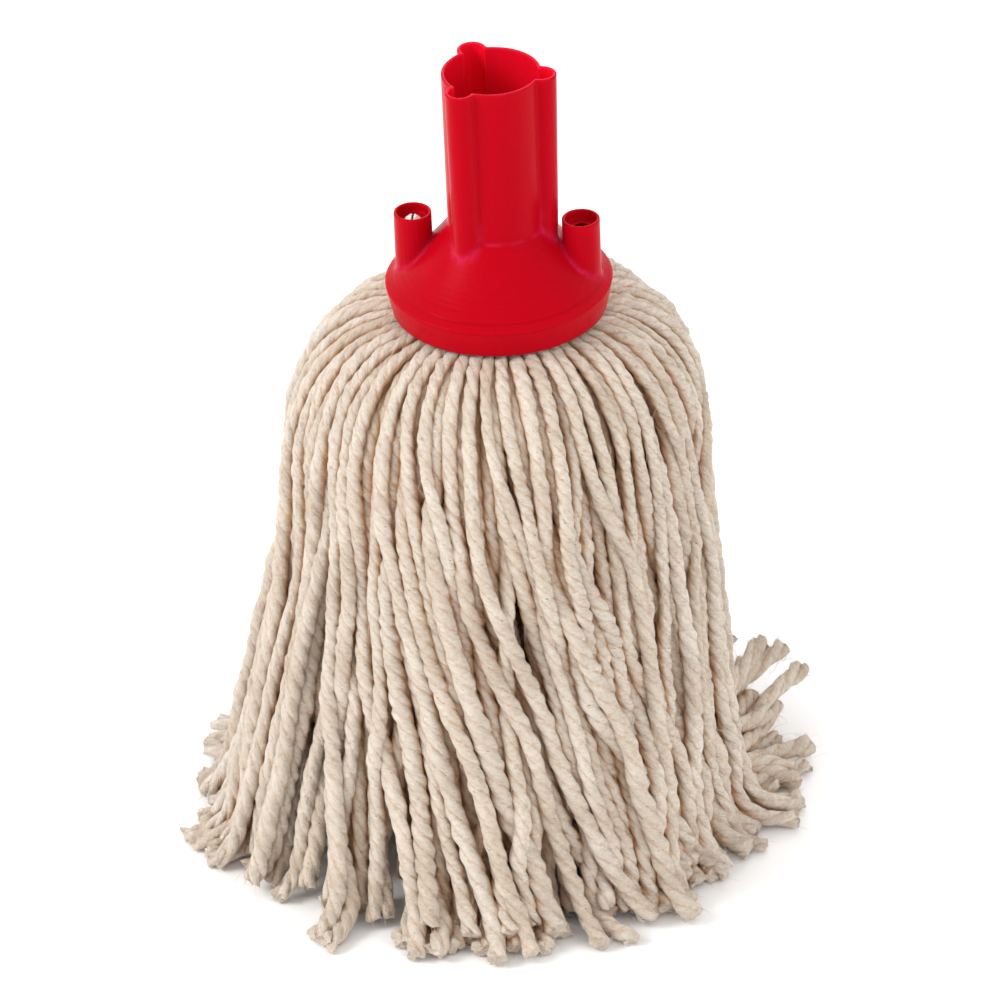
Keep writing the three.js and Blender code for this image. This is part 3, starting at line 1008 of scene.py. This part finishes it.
def cotton():
    """Unbleached yarn: fibre streaks, mottling, seed specks and dust, with painted shade in the ply
    grooves, deep in the bell and on the strands behind the others.
    """
    look = Look("cotton_yarn")
    fibre = look.attribute("fibre", "Vector")
    streak = look.noise(look.stretched(fibre, (1900, 1900, 900)), Scale=1.0, Detail=4.0, Roughness=0.7)
    cloud = look.noise(fibre, Scale=620.0, Detail=4.0, Roughness=0.65)
    broad = look.noise(fibre, Scale=45.0, Detail=2.0)
    # a strand's own random tone, darker on the strands behind the others as painted shade
    colour = look.mixed(look.attribute("tint"), (0.945, 0.866, 0.775), (0.89, 0.78, 0.655))
    colour = look.mixed(look.ranged(broad, 0.4, 0.8), colour, (0.70, 0.58, 0.46))
    # painted shade in the grooves between the plies: darker, browner and patchy
    deep = look.maths("POWER", look.attribute("groove"), 5.0)
    patchy_groove_shade = look.maths("MULTIPLY", deep, look.ranged(cloud, 0.3, 0.65))
    for factor, shade in (
        (patchy_groove_shade, (0.84, 0.68, 0.52)),
        (look.ranged(streak, 0.42, 0.68), (0.88, 0.82, 0.76)),
        (look.ranged(cloud, 0.40, 0.66), (0.89, 0.84, 0.79)),
        # painted shade deep in the bell, darker and browner
        (look.ranged(look.attribute("painted_shade"), 0.26, 0.70), (0.88, 0.62, 0.40)),
    ):
        colour = look.mixed(factor, colour, shade, "MULTIPLY")
    speck = look.maths("MULTIPLY", look.dots(fibre, 190.0, 0.07, 0.02), 0.8)
    colour = look.mixed(speck, colour, (0.20, 0.10, 0.055))
    dust = look.maths("MULTIPLY", look.dots(fibre, 420.0, 0.15, 0.05), 0.5)
    colour = look.mixed(dust, colour, (0.40, 0.25, 0.16))
    height = look.maths("ADD", streak, cloud)
    finish = {"Roughness": 0.95, "Specular IOR Level": 0.1, "Sheen Weight": 0.2, "Sheen Roughness": 0.6}
    return look.finished(colour, height, 1.0, 0.0012, **finish)


def red_plastic():
    """Moulded polypropylene: cloudy red, paler where stressed, with painted light as a paler red inside the
    bore and grooves, and turning marks and draft lines.
    """
    look = Look("red_polypropylene")
    place = look.add("TexCoord").outputs["Object"]
    cloud = look.noise(place, Scale=70.0, Detail=3.0)
    marks = look.noise(place, Scale=260.0, Detail=4.0, Roughness=0.7)
    colour = look.mixed(cloud, (0.415, 0.0012, 0.0072), (0.390, 0.0015, 0.0082))
    # painted light: paler red for light coming through the thin wall into the bore and grooves
    colour = look.mixed(look.attribute("painted_light_inside"), colour, (0.72, 0.005, 0.022))
    pale = look.maths("MULTIPLY", look.attribute("stress"), look.ranged(marks, 0.35, 0.75))
    colour = look.mixed(pale, colour, (0.56, 0.020, 0.080))
    # darker along the parting line and along the ledge step
    colour = look.mixed(look.attribute("seam_and_ledge_line"), colour, (0.30, 0.001, 0.005))

    level = look.add("VectorMath", operation="MULTIPLY")
    level.inputs[1].default_value = (1, 1, 0)
    look.feed(level.inputs[0], place)
    radius = look.add("VectorMath", operation="LENGTH")
    look.feed(radius.inputs[0], level.outputs[0])
    rings = look.noise(radius.outputs["Value"], noise_dimensions="1D", Scale=900.0, Detail=2.0)
    drawn = look.noise(look.stretched(place, (500, 500, 25)), Scale=1.0, Detail=2.0)
    skin = look.maths("MULTIPLY", marks, 0.35)
    height = look.maths("ADD", look.maths("ADD", rings, skin), drawn)
    finish = {
        "Roughness": 0.32,
        "Specular IOR Level": 0.06,
        "Specular Tint": (1.0, 0.22, 0.36, 1),
        "Subsurface Weight": 0.25,
        "Subsurface Radius": (1.0, 0.1, 0.1),
        "Subsurface Scale": 0.004,
    }
    return look.finished(colour, height, 0.45, 0.00018, **finish)


def nylon():
    look = Look("natural_nylon")
    cloud = look.noise(look.add("TexCoord").outputs["Object"], Scale=300.0, Detail=3.0)
    return look.finished(look.mixed(cloud, (0.84, 0.81, 0.75), (0.76, 0.72, 0.64)), Roughness=0.45)


# -------- strands into the scene
MOST_CORDS = 40
INNER_PAINTED_SHADE = 0.55  # the inner strands get at least this much painted shade
HIDDEN_PAINTED_SHADE = 0.5  # painted shade: how much darker the strands behind the others are coloured
LAYERS, LAYER_TURN, FIRST_TURN = 3, 60, 15  # of folded middles in the cup, and how they cross, in degrees
MIDDLE_POINTS = 16


def hinge_blend(made):
    """Bakes a piece's placement into its mesh."""
    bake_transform(made)


def yarn_piece(name, group, shape, material):
    """A piece that stands for a group's CAD solid and hides it: a tuft's piece gets its placement baked in,
    any other is attached to the root.
    """
    made = mesh_object(name, shape, material)
    if group in TUFTS:
        hinge_blend(made)
    else:
        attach(made, "root")
    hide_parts(group)
    return made


def make_cord(name, plan, shape, material):
    made = yarn_piece(name, plan["group"], shape, material)


def make_strands(material):
    plans = plan_strands()
    settled = settle(plans)
    reach = np.hypot(settled[:, :, 0], settled[:, :, 1]).max(1)
    furthest = set(np.argsort(-reach)[:MOST_CORDS])
    density = yarn_density(settled, np.array([plan["thickness"] for plan in plans]))
    shared, outer = {}, {}
    for index, (plan, knots) in enumerate(zip(plans, settled)):
        inner = plan["row"] == "inner"
        hidden = inner or plan["row"] == INNERMOST_ROW
        ring_step = 2 * RING_STEP if hidden else RING_STEP
        samples = HIDDEN_SAMPLES if hidden else PLY_SAMPLES
        # random tone, with painted shade added on the strands that others hide
        tint = float(np.clip(draw.normal(0.35, 0.22) + HIDDEN_PAINTED_SHADE * hidden, 0, 1.4))
        shape = strand_mesh(knots, plan["thickness"], tint, ring_step, samples, density)
        if inner:
            # the inner strands get painted shade all over
            shape["painted_shade"] = np.maximum(shape["painted_shade"], INNER_PAINTED_SHADE)
        else:
            outer.setdefault(plan["group"], []).append(shape)
        if index in furthest:
            make_cord(f"strand_{index:03d}", plan, shape, material)
        else:
            shared.setdefault(plan["group"], []).append(shape)
    for group, shapes in shared.items():
        yarn_piece(f"{group}_strands", group, joined(shapes), material)
    for tuft, shapes in outer.items():
        yarn_piece(f"{tuft}_lint", tuft, lint_mesh(shapes, density), material)


def make_folded_middle(material):
    """The strands' folded middles, in crossed layers between the cup and the retainer."""
    reach = RETAINER_HIGH[0] - 0.001
    room = SKIRT_FOOT - RETAINER_HIGH[2]
    shapes = []
    for layer in range(LAYERS):
        height = RETAINER_HIGH[2] + room * (layer + 0.5) / LAYERS
        turn = math.radians(LAYER_TURN * layer + FIRST_TURN)
        along = np.array([math.cos(turn), math.sin(turn)])
        across = np.array([-math.sin(turn), math.cos(turn)])
        for offset in np.arange(-reach + THICKNESS, reach - 0.5 * THICKNESS, 0.95 * THICKNESS):
            half = math.sqrt(reach**2 - offset**2)
            s = np.linspace(-half, half, MIDDLE_POINTS)[:, None]
            flat = s * along + (offset + draw.normal(0, 0.0003)) * across
            knots = np.concatenate([flat, np.full_like(s, height)], 1)
            tint = draw.uniform(0.2, 0.7)
            shapes.append(strand_mesh(knots, 0.9 * THICKNESS, tint, 2 * RING_STEP, HIDDEN_SAMPLES))
    yarn_piece("folded_middle", "yarn_mat", joined(shapes), material)


# -------- floor and light
LIGHTS = {
    # place, size and power
    "key": ((-1.8, -0.9, 1.6), 1.0, 39),
    "fill": ((1.6, -1.2, 0.8), 1.6, 13),
    "back": ((0.0, 1.6, 1.4), 1.4, 12),
}
LIT = Vector((0, 0, 0.13))  # where they are aimed


def make_stage():
    bpy.ops.mesh.primitive_plane_add(size=12, location=(0, 0, -0.0005))
    floor = bpy.context.object
    floor.name = "studio_floor"
    floor.data.materials.append(Look("studio_white").finished((0.93, 0.93, 0.93), Roughness=0.9))


def make_lights():
    for name, (place, size, power) in LIGHTS.items():
        data = bpy.data.lights.new(name, "AREA")
        data.size, data.energy = size, power
        light = bpy.data.objects.new(name, data)
        light.location = place
        light.rotation_euler = (LIT - Vector(place)).to_track_quat("-Z", "Y").to_euler()
        bpy.context.scene.collection.objects.link(light)
    world = bpy.data.worlds.new("studio")
    world.use_nodes = True
    background = world.node_tree.nodes["Background"]
    background.inputs["Color"].default_value = (1, 1, 1, 1)
    background.inputs["Strength"].default_value = 1.0
    bpy.context.scene.world = world
    bpy.context.scene.view_settings.view_transform = "Standard"
    bpy.context.scene.cycles.diffuse_bounces = 8


# -------- the scene
make_camera()
yarn, red, white = cotton(), red_plastic(), nylon()
make_strands(yarn)
make_folded_middle(yarn)
make_socket(red)
for name in ("retainer_disc", "snap_pin_left", "snap_pin_right"):
    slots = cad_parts[name].data.materials
    slots.clear()
    slots.append(white)
make_stage()
make_lights()
